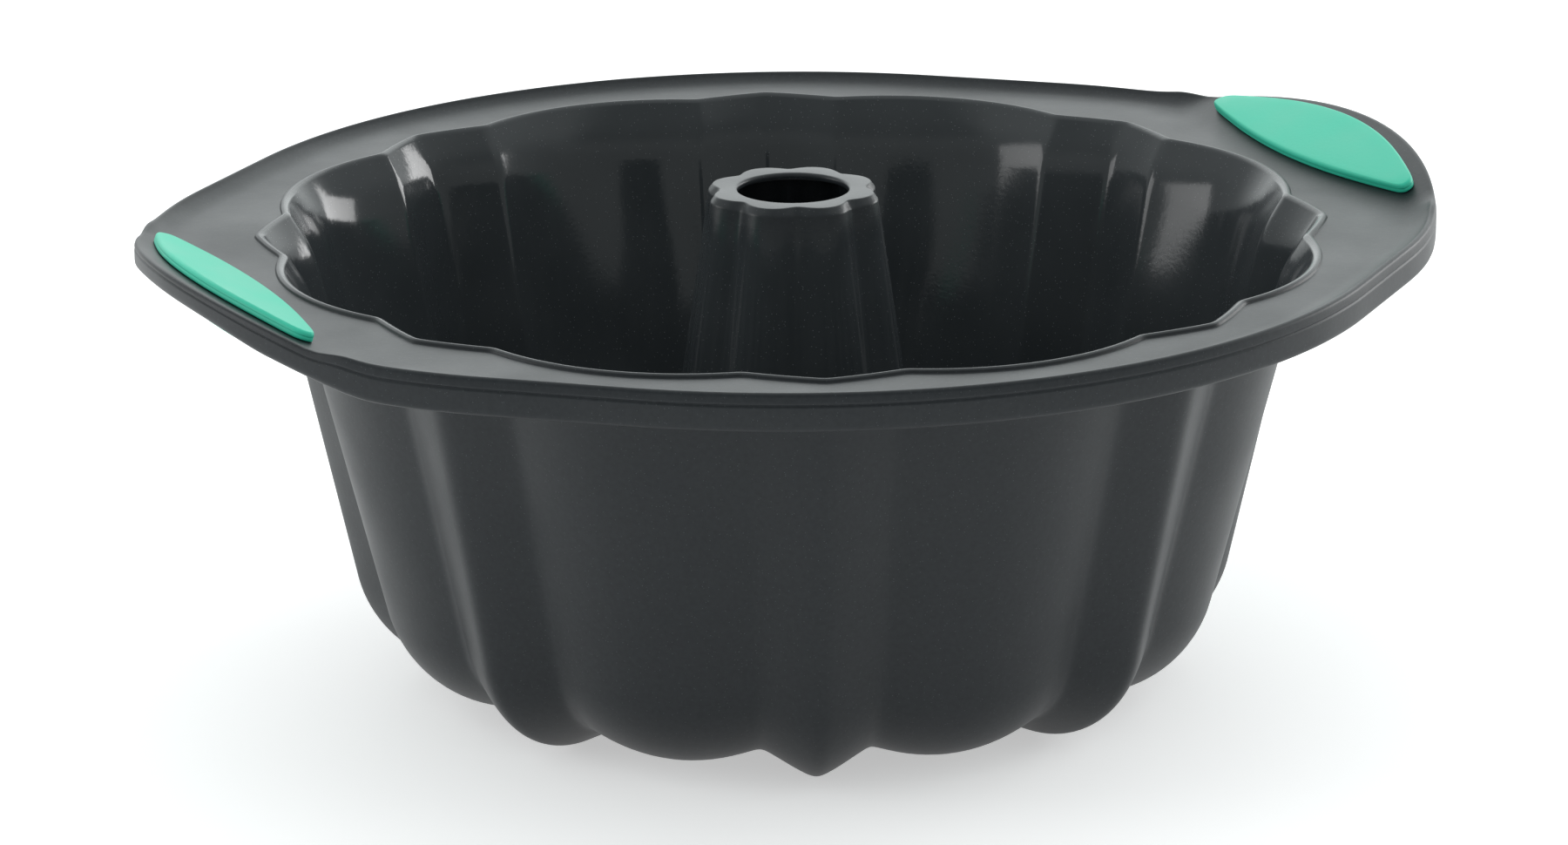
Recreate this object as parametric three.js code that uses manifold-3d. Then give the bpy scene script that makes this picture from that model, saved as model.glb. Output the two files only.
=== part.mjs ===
// Fluted tube pan of moulded silicone: a ring-shaped cake cavity round a hollow tube, a broad flange with
// two turned-up handles, a stiffening wire inside the rim and soft grip pads on both faces of each handle.
// Millimetres, +Z up, +X along the handles, origin on the ground under the middle of the tube.

import * as THREE from 'three';
import { mergeVertices } from 'three/addons/utils/BufferGeometryUtils.js';
import Module from 'manifold-3d';

const wasm = await Module();
wasm.setup();

// Driving dimensions of the cavity
const FLUTES = 8;
const FLANGE_HEIGHT = 98.2;
const WALL = 1.5;
const WALL_TOP_RADIUS = 107.2;
const WALL_DRAFT = 13.8;
const WALL_ROUND = 21.5;
const RIB_HALF_ANGLE = 8.6;
const RIB_TIP_ANGLE = 1.2;
const RIB_DEPTH = 4.4;
const RIB_BASE_DEPTH = 6.2;
const LOBE_DEPTH = 4.4;
const LOBE_BASE_DEPTH = 4.0;

// Driving dimensions of the tube
const TUBE_RISE = 8.7;
const TUBE_TOP_RADIUS = 18.7;
const TUBE_DRAFT = 8.4;
const TUBE_ROUND = 24;
const TUBE_NOTCH = 2.2;
const TUBE_CHAMFER = 1.6;
const HOLE_RADIUS = 11.9;
const HOLE_ROUND = 0.9;

// Driving dimensions of the mouth's lip
const LIP_REACH = 2.58;
const LIP_WIDTH = 2.4;
const LIP_HEIGHT = 0.8;
const FLARE_LEAN = 58;

// Driving dimensions of the flange, its rim and the handles
const SIDE_FLANGE = 13;
const HANDLE_GAP = 4.7;
const HANDLE_LENGTH = 21.9;
const END_TIGHTER = 25;
const FLANGE_THICKNESS = 3;
const FLANGE_FILLET = 5;
const CREST_RISE = 2.1;
const RISE_WIDTH = 4.2;
const EDGE_OVERHANG = 1.0;
const EDGE_ROUND = 1.0;
const HANDLE_SLOPE = 20.2;
const HANDLE_BLEND = 10;
const BEND_BOW = 2.2;
const RIM_FADE_LOW = 0.5;
const RIM_FADE_HIGH = 3;
const RIM_DROP = 1.4;
const HANDLE_DROP = 0.4;

// Driving dimensions of the stiffening wire and the holes of the pins that hold it in the mould
const WIRE_DIAMETER = 2.4;
const WIRE_COVER = 1.4;
const HANDLE_COVER = 0.8;
const PIN_HOLE_DIAMETER = 2;
const PIN_HOLES = 8;

// Driving dimensions of the grip pads
const PAD_INSET = 2.2;
const PAD_MARGIN = 3.2;
const PAD_HALF_LENGTH = 43;
const PAD_TIP_INSET = 1.3;
const PAD_THICKNESS = 2;
const PAD_EDGE = 0.8;
const PAD_FULLNESS = 1.7;
const UNDER_INSET = 3;
const UNDER_MARGIN = 3.5;
const UNDER_HALF_LENGTH = 26;
const UNDER_FULLNESS = 0.75;
const PEG_DIAMETER = 6;
const PEG_SPACING = 36;
const PEG_SEAT = 1.0;
const CLEARANCE = 0.3;

// How finely round shapes are divided
const WALL_ARC_STEPS = 6;
const TUBE_ARC_STEPS = 4;
const FLARE_STEPS = 3;
const WIRE_SIDES = 8;
const PAD_STEPS = 40;
const PAD_EDGE_STEPS = 2;
const PEG_SIDES = 20;
const PIN_HOLE_SIDES = 10;
const MERGE_DISTANCE = 1e-4;

// The flange's bend rows keep this share of its width away from its edges
const BEND_MARGIN = 0.05;

// Sizes that follow from the driving ones
const radians = THREE.MathUtils.degToRad;
const wallDraft = radians(WALL_DRAFT);
const tubeDraft = radians(TUBE_DRAFT);
const slope = radians(HANDLE_SLOPE);
const halfPitch = Math.PI / FLUTES;
const lipRoot = WALL_TOP_RADIUS - WALL / Math.cos(wallDraft);
const mouthRadius = lipRoot + Math.max(RIB_DEPTH, LOBE_DEPTH) + LIP_REACH + LIP_WIDTH;
const sideRadius = mouthRadius + SIDE_FLANGE;
const bendX = mouthRadius + HANDLE_GAP;
const endRadius = sideRadius - END_TIGHTER;
const endCentre = bendX + HANDLE_LENGTH - endRadius;
const ribHalf = radians(RIB_HALF_ANGLE);
const ribTip = radians(RIB_TIP_ANGLE);
const tubeTop = FLANGE_HEIGHT + TUBE_RISE;
const channelRadius = WIRE_DIAMETER / 2 + CLEARANCE;
const wireDepth = HANDLE_COVER + channelRadius;
const wireOffset = EDGE_OVERHANG - WIRE_COVER - channelRadius;
const handleDepth = wireDepth + channelRadius + HANDLE_COVER;
const beadDepth = handleDepth + RIM_DROP;
const beadInner = wireOffset - channelRadius - WIRE_COVER;
const handleThickness = handleDepth * Math.cos(slope);
const bendBow = BEND_BOW / PAD_HALF_LENGTH ** 2;

const charcoal = new THREE.MeshStandardMaterial({ color: 0x3b4043, roughness: 0.5, metalness: 0 });
const mint = new THREE.MeshStandardMaterial({ color: 0x66cfa8, roughness: 0.65, metalness: 0 });
const steel = new THREE.MeshStandardMaterial({ color: 0xb4b8ba, roughness: 0.35, metalness: 1 });

// Mesh helpers

function toSolid(geometry) {
  const bare = geometry.clone();
  bare.deleteAttribute('normal');
  bare.deleteAttribute('uv');
  const merged = mergeVertices(bare, MERGE_DISTANCE);
  const vertProperties = Float32Array.from(merged.attributes.position.array);
  const triVerts = Uint32Array.from(merged.index.array);
  return new wasm.Manifold(new wasm.Mesh({ numProp: 3, vertProperties, triVerts }));
}

function toGeometry(solid) {
  const mesh = solid.getMesh();
  const geometry = new THREE.BufferGeometry();
  geometry.setAttribute('position', new THREE.BufferAttribute(mesh.vertProperties, 3));
  geometry.setIndex(new THREE.BufferAttribute(mesh.triVerts, 1));
  geometry.computeVertexNormals();
  return geometry;
}

// A closed ring: each angle has the same number of [radius, height] points, listed clockwise round its
// section.
function ringGeometry(angles, sectionAt) {
  const sections = angles.map(sectionAt);
  const rows = sections[0].length;
  const positions = [];
  sections.forEach((section, column) => {
    const cos = Math.cos(angles[column]);
    const sin = Math.sin(angles[column]);
    section.forEach(([r, z]) => positions.push(r * cos, r * sin, z));
  });
  const index = [];
  for (let column = 0; column < angles.length; column += 1) {
    const here = column * rows;
    const there = ((column + 1) % angles.length) * rows;
    for (let row = 0; row < rows; row += 1) {
      const next = (row + 1) % rows;
      index.push(here + row, here + next, there + next);
      index.push(here + row, there + next, there + row);
    }
  }
  const geometry = new THREE.BufferGeometry();
  geometry.setAttribute('position', new THREE.Float32BufferAttribute(positions, 3));
  geometry.setIndex(index);
  return geometry;
}

// A closed stack of outlines, listed upwards and each run anticlockwise, capped by fans round one middle
// point.
function stackGeometry(layers, [middleX, middleY]) {
  const count = layers[0].outline.length;
  const positions = [];
  layers.forEach(({ outline, z }) => outline.forEach(([x, y]) => positions.push(x, y, z)));
  const bottom = layers.length * count;
  const top = bottom + 1;
  positions.push(middleX, middleY, layers[0].z);
  positions.push(middleX, middleY, layers[layers.length - 1].z);
  const index = [];
  for (let step = 0; step < count; step += 1) {
    const next = (step + 1) % count;
    for (let layer = 0; layer + 1 < layers.length; layer += 1) {
      const low = layer * count;
      const high = low + count;
      index.push(low + step, low + next, high + next);
      index.push(low + step, high + next, high + step);
    }
    const last = (layers.length - 1) * count;
    index.push(bottom, next, step);
    index.push(top, last + step, last + next);
  }
  const geometry = new THREE.BufferGeometry();
  geometry.setAttribute('position', new THREE.Float32BufferAttribute(positions, 3));
  geometry.setIndex(index);
  return geometry;
}

// A round bar standing on z = 0
function bar(radius, length, sides) {
  const geometry = new THREE.CylinderGeometry(radius, radius, length, sides);
  geometry.rotateX(Math.PI / 2);
  geometry.translate(0, 0, length / 2);
  return geometry;
}

// Flutes: pointed ribs on the half pitches, with a broad rounded lobe between each two

function columnAngles() {
  const lobeStep = (halfPitch - ribHalf) / 3;
  const half = [ribTip, ribHalf, ribHalf + lobeStep, ribHalf + 2 * lobeStep];
  const sector = [...half.map((angle) => -angle).reverse(), ...half, halfPitch];
  const angles = [];
  for (let flute = 0; flute < FLUTES; flute += 1) {
    const middle = halfPitch * (2 * flute + 1);
    sector.forEach((angle) => angles.push(middle + angle));
  }
  return angles;
}

function angleFromRib(angle) {
  const pitch = 2 * halfPitch;
  const turned = ((angle % pitch) + pitch) % pitch;
  return Math.abs(turned - halfPitch);
}

// How far the wall stands out of its valleys at an angle, for one depth of rib and one of lobe
function fluteDepth(angle, rib, lobe) {
  const away = angleFromRib(angle);
  if (away <= ribHalf) {
    const fall = Math.max(0, away - ribTip) / (ribHalf - ribTip);
    return rib * (1 - fall);
  }
  const across = (halfPitch - away) / (halfPitch - ribHalf);
  return lobe * (1 - across * across);
}

// The tube's flutes: round lobes with a notch in line with each rib
function notchDepth(angle) {
  const across = 1 - angleFromRib(angle) / halfPitch;
  return TUBE_NOTCH * across ** 3;
}

// The pan's section runs from the tube over the floor to the wall. Each point carries its outward normal
// and two shares: how far it belongs to the wall rather than to the tube, and how far up the wall it is.

const lowestValley = RIB_BASE_DEPTH;
const wallSlope = Math.tan(wallDraft);
const tubeSlope = Math.tan(tubeDraft);
const wallTopHeight = FLANGE_HEIGHT - FLANGE_THICKNESS - FLANGE_FILLET;

// The flare at the mouth leaves the wall at a drop below the flange and meets the lip just inside its top
const flareRun = 1 / Math.tan(radians(FLARE_LEAN));
const lipStart = LIP_HEIGHT / 2;
const flareDrop = (LIP_REACH + lipStart - lipStart * flareRun) / (flareRun - wallSlope);

function wallRadius(z) {
  return WALL_TOP_RADIUS - (FLANGE_HEIGHT - z) * wallSlope;
}

function tubeUnderRadius(z) {
  return TUBE_TOP_RADIUS - WALL / Math.cos(tubeDraft) + (tubeTop - z) * tubeSlope;
}

function panProfile() {
  const points = [];
  const add = (r, z, normal, wallShare, upShare) => points.push({ r, z, normal, wallShare, upShare });
  const tubeNormal = [-Math.cos(tubeDraft), -Math.sin(tubeDraft)];
  const wallNormal = [Math.cos(wallDraft), -Math.sin(wallDraft)];
  const tubeArcZ = lowestValley + TUBE_ROUND;
  const tubeArcR = tubeUnderRadius(tubeArcZ) + TUBE_ROUND / Math.cos(tubeDraft);
  const wallArcZ = lowestValley + WALL_ROUND;
  const wallArcR = wallRadius(wallArcZ) - WALL_ROUND / Math.cos(wallDraft);
  const tubeFoot = tubeArcZ - TUBE_ROUND * Math.sin(tubeDraft);
  const tubeLineTop = tubeTop - TUBE_CHAMFER;
  const wallFoot = wallArcZ - WALL_ROUND * Math.sin(wallDraft);
  for (const share of [0, 0.5]) {
    const z = THREE.MathUtils.lerp(tubeLineTop, tubeFoot, share);
    add(tubeUnderRadius(z), z, tubeNormal, 0, 0);
  }
  for (let step = 0; step <= TUBE_ARC_STEPS; step += 1) {
    const share = step / TUBE_ARC_STEPS;
    const turn = THREE.MathUtils.lerp(Math.PI + tubeDraft, 1.5 * Math.PI, share);
    const normal = [Math.cos(turn), Math.sin(turn)];
    add(tubeArcR + TUBE_ROUND * normal[0], tubeArcZ + TUBE_ROUND * normal[1], normal, share, 0);
  }
  for (let step = 0; step <= WALL_ARC_STEPS; step += 1) {
    const share = step / WALL_ARC_STEPS;
    const turn = THREE.MathUtils.lerp(-Math.PI / 2, -wallDraft, share);
    const normal = [Math.cos(turn), Math.sin(turn)];
    add(wallArcR + WALL_ROUND * normal[0], wallArcZ + WALL_ROUND * normal[1], normal, 1, 0);
  }
  for (const share of [0.5, 1]) {
    const z = THREE.MathUtils.lerp(wallFoot, wallTopHeight, share);
    add(wallRadius(z), z, wallNormal, 1, share);
  }
  return points;
}

const profile = panProfile();

// A profile point moved outwards along its normal by its flute, and inwards by an inset
function shellPoint(point, angle, inset) {
  const rib = THREE.MathUtils.lerp(RIB_BASE_DEPTH, RIB_DEPTH, point.upShare);
  const lobe = THREE.MathUtils.lerp(LOBE_BASE_DEPTH, LOBE_DEPTH, point.upShare);
  const depth = THREE.MathUtils.lerp(notchDepth(angle), fluteDepth(angle, rib, lobe), point.wallShare);
  const out = depth - inset;
  return [point.r + point.normal[0] * out, point.z + point.normal[1] * out];
}

// The rim's outline is the belt round a large circle in the middle and a smaller one at each handle.
// This gives its radius at an angle, for the outline moved outwards by an offset.
function rimRadius(angle, offset) {
  const side = sideRadius + offset;
  const end = endRadius + offset;
  const cos = Math.abs(Math.cos(angle));
  const sin = Math.abs(Math.sin(angle));
  const bearing = Math.atan2(sin, cos);
  const tangent = Math.acos(END_TIGHTER / endCentre);
  if (bearing >= tangent) {
    return side;
  }
  const onEnd = endCentre * cos + Math.sqrt(end ** 2 - (endCentre * sin) ** 2);
  const endBearing = Math.atan2(onEnd * sin, onEnd * cos - endCentre);
  return endBearing <= tangent ? onEnd : side / Math.cos(bearing - tangent);
}

// The handles slope up from their bend lines, which bow outwards so that the handles' corners hang lower
function lift(angle, r) {
  const bend = bendX + bendBow * (r * Math.sin(angle)) ** 2;
  return Math.max(0, Math.abs(r * Math.cos(angle)) - bend) * Math.tan(slope);
}

// The flange thickens to the handle's depth where it becomes a handle
function flangeDepth(angle, r) {
  const x = Math.abs(r * Math.cos(angle));
  const share = THREE.MathUtils.smoothstep(x, bendX - HANDLE_BLEND, bendX);
  return THREE.MathUtils.lerp(FLANGE_THICKNESS, handleDepth, share);
}

// How far the rim has become the end of a handle, where its crest is gone and its bead is shallower
function handleShare(angle) {
  return THREE.MathUtils.smoothstep(lift(angle, rimRadius(angle, 0)), RIM_FADE_LOW, RIM_FADE_HIGH);
}

function bendRadius(angle, low, high) {
  const margin = (high - low) * BEND_MARGIN;
  const straight = bendX * Math.tan(angle);
  const wanted = (bendX + bendBow * straight ** 2) / Math.abs(Math.cos(angle));
  return THREE.MathUtils.clamp(wanted, low + margin, high - margin);
}

// Sections of the body

// From the top of the inner wall, which flares out on a curve, over the raised lip to its foot on the flange
function lipSection(angle, wallTop) {
  const inner = lipRoot + fluteDepth(angle, RIB_DEPTH, LOBE_DEPTH);
  const edge = inner + LIP_REACH;
  const curve = new THREE.QuadraticBezierCurve(
    new THREE.Vector2(...wallTop),
    new THREE.Vector2(inner - flareDrop * wallSlope, FLANGE_HEIGHT - flareDrop),
    new THREE.Vector2(edge + lipStart, FLANGE_HEIGHT + lipStart),
  );
  const flare = curve.getPoints(FLARE_STEPS).slice(1).map((point) => [point.x, point.y]);
  return [
    ...flare,
    [edge + LIP_WIDTH * 0.7, FLANGE_HEIGHT + LIP_HEIGHT],
    [edge + LIP_WIDTH, FLANGE_HEIGHT],
  ];
}

// From the foot of the lip over the flange and round the rim's edge to the underside of the wall
function rimSection(angle, foot, wallOuter) {
  const points = [];
  const top = (r, height) => points.push([r, FLANGE_HEIGHT + height + lift(angle, r)]);
  const rise = rimRadius(angle, -RISE_WIDTH);
  const beadInside = rimRadius(angle, beadInner);
  const filletFoot = wallOuter + FLANGE_FILLET;
  const bendUnder = bendRadius(angle, filletFoot, beadInside);
  const crest = THREE.MathUtils.lerp(CREST_RISE, 0, handleShare(angle));
  const depth = THREE.MathUtils.lerp(beadDepth, handleDepth + HANDLE_DROP, handleShare(angle));
  top(bendRadius(angle, foot, rise), 0);
  top(rise, 0);
  top(rimRadius(angle, -RISE_WIDTH / 2), crest / 4);
  top(rimRadius(angle, 0), crest);
  top(rimRadius(angle, EDGE_OVERHANG), crest - EDGE_ROUND);
  top(rimRadius(angle, EDGE_OVERHANG), EDGE_ROUND - depth);
  top(rimRadius(angle, EDGE_OVERHANG - EDGE_ROUND), -depth);
  top(rimRadius(angle, beadInner + EDGE_ROUND / 2), -depth);
  top(beadInside, -flangeDepth(angle, beadInside));
  top(bendUnder, -flangeDepth(angle, bendUnder));
  top(filletFoot, -flangeDepth(angle, filletFoot));
  return points;
}

// The flat ring on top of the tube, from the underside of the tube over the hole's edge to the chamfer
function tubeTopSection(angle) {
  const under = tubeUnderRadius(tubeTop - WALL - TUBE_CHAMFER) - notchDepth(angle);
  const outer = TUBE_TOP_RADIUS - notchDepth(angle);
  return [
    [Math.max(under, HOLE_RADIUS + HOLE_ROUND), tubeTop - WALL],
    [HOLE_RADIUS, tubeTop - WALL],
    [HOLE_RADIUS, tubeTop - HOLE_ROUND],
    [HOLE_RADIUS + HOLE_ROUND, tubeTop],
    [outer - TUBE_CHAMFER * 0.6, tubeTop],
  ];
}

function bodySection(angle) {
  const inside = profile.map((point) => shellPoint(point, angle, WALL));
  const outside = profile.map((point) => shellPoint(point, angle, 0)).reverse();
  const hollow = outside.slice(0, -1);
  const lip = lipSection(angle, inside[inside.length - 1]);
  const foot = lip[lip.length - 1][0];
  const rim = rimSection(angle, foot, outside[0][0]);
  return [...inside, ...lip, ...rim, ...hollow, hollowTop(angle), ...tubeTopSection(angle)];
}

// The upper end of the hollow inside the tube, a wall's thickness below the flat ring
function hollowTop(angle) {
  const z = tubeTop - WALL - TUBE_CHAMFER;
  return [tubeUnderRadius(z) - notchDepth(angle), z];
}

// A round bar that follows the rim inside its bead
function hoopGeometry(radius) {
  const section = (angle) => {
    const middle = rimRadius(angle, wireOffset);
    const height = FLANGE_HEIGHT - wireDepth + lift(angle, middle);
    return Array.from({ length: WIRE_SIDES }, (_, side) => {
      const turn = -2 * Math.PI * side / WIRE_SIDES;
      return [middle + radius * Math.cos(turn), height + radius * Math.sin(turn)];
    });
  };
  return ringGeometry(columnAngles(), section);
}

// Grip pads, in the plane of a handle: x runs up the slope from the bend line, z out of the handle

const alongSlope = (x) => (x - bendX) / Math.cos(slope);
const padRadius = endRadius - PAD_MARGIN;
const padInner = PAD_INSET;
const padOuter = alongSlope(endCentre + padRadius);
const pegPlace = (padInner + padOuter) / 2;
const pegSides = [-1, 1];

const topShape = {
  inner: padInner,
  outer: padOuter,
  tip: alongSlope(endCentre + Math.sqrt(padRadius ** 2 - PAD_HALF_LENGTH ** 2)) - PAD_TIP_INSET,
  halfLength: PAD_HALF_LENGTH,
  fullness: PAD_FULLNESS,
};

const underShape = {
  inner: padInner + UNDER_INSET,
  outer: padOuter - UNDER_MARGIN,
  tip: pegPlace,
  halfLength: UNDER_HALF_LENGTH,
  fullness: UNDER_FULLNESS,
};

// A pad's outline, drawn in by an inset: two bowed edges that meet in tips, pointed or blunt by the fullness
function padOutline({ inner, outer, tip, halfLength, fullness }, inset) {
  const points = [];
  for (let step = 0; step < PAD_STEPS; step += 1) {
    const turn = 2 * Math.PI * step / PAD_STEPS;
    const swell = Math.abs(Math.sin(turn)) ** fullness;
    const reach = Math.sin(turn) > 0 ? inner - tip + inset : outer - tip - inset;
    points.push([tip + reach * swell, (halfLength - inset) * Math.cos(turn)]);
  }
  return points;
}

// A pad with rounded edges, lying on z = 0 in its middle and following the handle down towards its tips
function padGeometry(shape) {
  const layers = [];
  for (let step = 0; step <= PAD_EDGE_STEPS; step += 1) {
    const turn = Math.PI / 2 * step / PAD_EDGE_STEPS;
    const outline = padOutline(shape, PAD_EDGE * (1 - Math.sin(turn)));
    const height = PAD_EDGE * (1 - Math.cos(turn));
    layers.splice(step, 0, { outline, z: height });
    layers.splice(step + 1, 0, { outline, z: PAD_THICKNESS - height });
  }
  const geometry = stackGeometry(layers, [shape.tip, 0]);
  const position = geometry.attributes.position;
  for (let vertex = 0; vertex < position.count; vertex += 1) {
    const sag = bendBow * position.getY(vertex) ** 2 * Math.sin(slope);
    position.setZ(vertex, position.getZ(vertex) - sag);
  }
  return geometry;
}

function pegBar(side, radius, low, high) {
  const geometry = bar(radius, high - low, PEG_SIDES);
  geometry.translate(pegPlace, side * PEG_SPACING / 2, low);
  return geometry;
}

const underSeat = -handleThickness - CLEARANCE;
const pegEnd = underSeat - PEG_SEAT;

function topPad() {
  let solid = toSolid(padGeometry(topShape).translate(0, 0, CLEARANCE));
  const middle = CLEARANCE + PAD_THICKNESS / 2;
  for (const side of pegSides) {
    solid = solid.add(toSolid(pegBar(side, PEG_DIAMETER / 2, pegEnd, middle)));
  }
  return toGeometry(solid);
}

function underPad() {
  let solid = toSolid(padGeometry(underShape).translate(0, 0, underSeat - PAD_THICKNESS));
  for (const side of pegSides) {
    const socket = pegBar(side, PEG_DIAMETER / 2 + CLEARANCE, pegEnd - CLEARANCE, underSeat + CLEARANCE);
    solid = solid.subtract(toSolid(socket));
  }
  return toGeometry(solid);
}

// A handle's frame: at the middle of its bend line, sloping up and outwards
function handleGroup(turn) {
  const group = new THREE.Group();
  const tilted = new THREE.Group();
  group.rotation.z = turn;
  tilted.position.set(bendX, 0, FLANGE_HEIGHT);
  tilted.rotation.y = -slope;
  group.add(tilted);
  group.updateMatrixWorld(true);
  return { group, tilted };
}

const handles = { right: handleGroup(0), left: handleGroup(Math.PI) };

// The body, cut for the wire, for the pins that held it in the mould and for the pads' pegs
function panBody() {
  let solid = toSolid(ringGeometry(columnAngles(), bodySection));
  solid = solid.subtract(toSolid(hoopGeometry(channelRadius)));
  for (let hole = 0; hole < PIN_HOLES; hole += 1) {
    const angle = 2 * Math.PI * (hole + 0.5) / PIN_HOLES;
    const r = rimRadius(angle, wireOffset);
    const wire = FLANGE_HEIGHT - wireDepth + lift(angle, r);
    const length = beadDepth - wireDepth + CLEARANCE;
    const pin = bar(PIN_HOLE_DIAMETER / 2, length, PIN_HOLE_SIDES);
    pin.translate(r * Math.cos(angle), r * Math.sin(angle), wire - length);
    solid = solid.subtract(toSolid(pin));
  }
  for (const { tilted } of Object.values(handles)) {
    for (const side of pegSides) {
      const hole = pegBar(side, PEG_DIAMETER / 2 + CLEARANCE, pegEnd, PAD_THICKNESS);
      hole.applyMatrix4(tilted.matrixWorld);
      solid = solid.subtract(toSolid(hole));
    }
  }
  return toGeometry(solid);
}

function named(name, geometry, material) {
  const mesh = new THREE.Mesh(geometry, material);
  mesh.name = name;
  return mesh;
}

const pan = new THREE.Group();
pan.add(named('pan_body', panBody(), charcoal));
pan.add(named('rim_wire', hoopGeometry(WIRE_DIAMETER / 2), steel));
for (const [side, { group, tilted }] of Object.entries(handles)) {
  tilted.add(named(`${side}_grip_pad`, topPad(), mint));
  tilted.add(named(`${side}_grip_under_pad`, underPad(), mint));
  pan.add(group);
}

export default pan;
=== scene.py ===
# %% [markdown]
# # A fluted tube pan in moulded silicone
#
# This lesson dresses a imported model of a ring-cake pan. The model gives the sizes and the places of six
# pieces. Here each visible piece becomes a smooth surface worked out with numpy, and gets a finish of
# shader nodes.

import bpy
import numpy as np
from mathutils import Matrix, Vector


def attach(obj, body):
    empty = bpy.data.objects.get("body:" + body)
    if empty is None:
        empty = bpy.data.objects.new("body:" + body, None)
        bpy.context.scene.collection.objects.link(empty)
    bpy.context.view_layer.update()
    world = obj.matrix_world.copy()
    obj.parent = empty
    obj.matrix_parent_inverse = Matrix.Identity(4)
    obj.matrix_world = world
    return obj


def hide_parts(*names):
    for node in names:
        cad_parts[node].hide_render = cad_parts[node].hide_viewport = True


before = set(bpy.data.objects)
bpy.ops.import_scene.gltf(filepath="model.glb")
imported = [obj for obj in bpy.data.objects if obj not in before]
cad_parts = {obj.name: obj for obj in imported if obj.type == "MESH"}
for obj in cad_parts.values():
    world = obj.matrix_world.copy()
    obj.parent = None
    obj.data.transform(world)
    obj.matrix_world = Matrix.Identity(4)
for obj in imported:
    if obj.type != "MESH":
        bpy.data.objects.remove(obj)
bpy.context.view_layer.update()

print("pieces in the frame:", sorted(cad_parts))

# %% [markdown]
# ## Sizes
#
# A mould maker draws such a pan from a few sizes: how high the flange lies, how the wall leans, how deep
# the flutes are. They are written here in millimetres, as on a drawing, and turned into metres only when
# a mesh is made. The same sizes drive the solids, so each surface lands on the piece that it replaces.

# %% Driving sizes in millimetres
METRES_PER_MM = 0.001

FLUTES = 8
FLANGE_HEIGHT = 98.2
WALL = 1.5
WALL_TOP_RADIUS = 107.2
WALL_DRAFT = np.radians(13.8)
WALL_ROUND = 21.5
RIB_HALF_ANGLE = np.radians(8.6)
RIB_DEPTH = 4.4
RIB_BASE_DEPTH = 6.2
LOBE_DEPTH = 4.4
LOBE_BASE_DEPTH = 4.0

TUBE_RISE = 8.7
TUBE_TOP = FLANGE_HEIGHT + TUBE_RISE
TUBE_TOP_RADIUS = 18.7
TUBE_DRAFT = np.radians(8.4)
TUBE_ROUND = 24.0
TUBE_NOTCH = 2.2
TUBE_CHAMFER = 1.6
HOLE_RADIUS = 11.9

LIP_REACH = 2.58
LIP_WIDTH = 2.4
SIDE_FLANGE = 13.0
HANDLE_GAP = 4.7
HANDLE_LENGTH = 21.9
HANDLE_SLOPE = np.radians(20.2)
END_TIGHTER = 25.0

half_pitch = np.pi / FLUTES
lip_root = WALL_TOP_RADIUS - WALL / np.cos(WALL_DRAFT)
mouth_radius = lip_root + max(RIB_DEPTH, LOBE_DEPTH) + LIP_REACH + LIP_WIDTH
side_radius = mouth_radius + SIDE_FLANGE
bend_x = mouth_radius + HANDLE_GAP
end_radius = side_radius - END_TIGHTER
end_centre = bend_x + HANDLE_LENGTH - end_radius
print(f"mouth {2 * mouth_radius:.1f} mm across, rim {2 * side_radius:.1f} mm across its round sides")

# %% [markdown]
# ## Flutes
#
# Between two broad, rounded lobes the wall comes out to a pointed rib. Both could be modelled by hand and
# copied round, but a formula keeps every flute alike and lets the same pattern run down the wall and over
# the floor. The rib is a roof, the lobe a parabola, and the larger of the two wins. A plain maximum would
# leave a knife edge in the valley, so a smooth maximum rounds it off by a set amount.

# %% The flutes round the pan
COLUMNS_AT_TIP = 4
COLUMNS_ON_FACET = 5
COLUMNS_AT_VALLEY = 7
COLUMNS_ON_LOBE = 8
TIP_ZONE = np.radians(1.6)
VALLEY_ZONE = np.radians(1.5)
NOTCH_ROUND = np.radians(5.0)
NOTCH_POWER = 2


def column_angles():
    """Angles round the pan, closer together at the rib tips and in the valleys, the same in every flute."""
    stops = [0.0, TIP_ZONE, RIB_HALF_ANGLE - VALLEY_ZONE, RIB_HALF_ANGLE + VALLEY_ZONE, half_pitch]
    counts = [COLUMNS_AT_TIP, COLUMNS_ON_FACET, COLUMNS_AT_VALLEY, COLUMNS_ON_LOBE]
    spans = zip(stops[:-1], stops[1:], counts)
    half = np.concatenate([np.linspace(low, high, count, endpoint=False) for low, high, count in spans])
    flute = np.concatenate([half, 2 * half_pitch - np.append(half[1:], half_pitch)[::-1]])
    ribs = half_pitch * (2 * np.arange(FLUTES) + 1)
    return (ribs[:, None] + flute[None, :]).ravel()


def angle_from_rib(angle):
    """Distance to the nearest rib: |angle mod pitch - half pitch|."""
    return np.abs(np.mod(angle, 2 * half_pitch) - half_pitch)


def soft_distance(distance, rounding):
    """A distance with its kink at zero rounded: sqrt(d^2 + k^2) - k."""
    return np.hypot(distance, rounding) - rounding


def flute_depth(angle, rib, lobe, tip_round, valley_round):
    """How far the wall stands out of its valleys: the smooth maximum of a roof and a parabola.

    roof = rib (1 - d / reach), lobe = depth (1 - u^2),
    result = (roof + lobe + sqrt((roof - lobe)^2 + k^2)) / 2.
    """
    away = angle_from_rib(angle)
    reach = soft_distance(RIB_HALF_ANGLE, tip_round)
    roof = rib * (1 - soft_distance(away, tip_round) / reach)
    across = (half_pitch - away) / (half_pitch - RIB_HALF_ANGLE)
    swell = lobe * (1 - across**2)
    return 0.5 * (roof + swell + np.hypot(roof - swell, valley_round))


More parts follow.
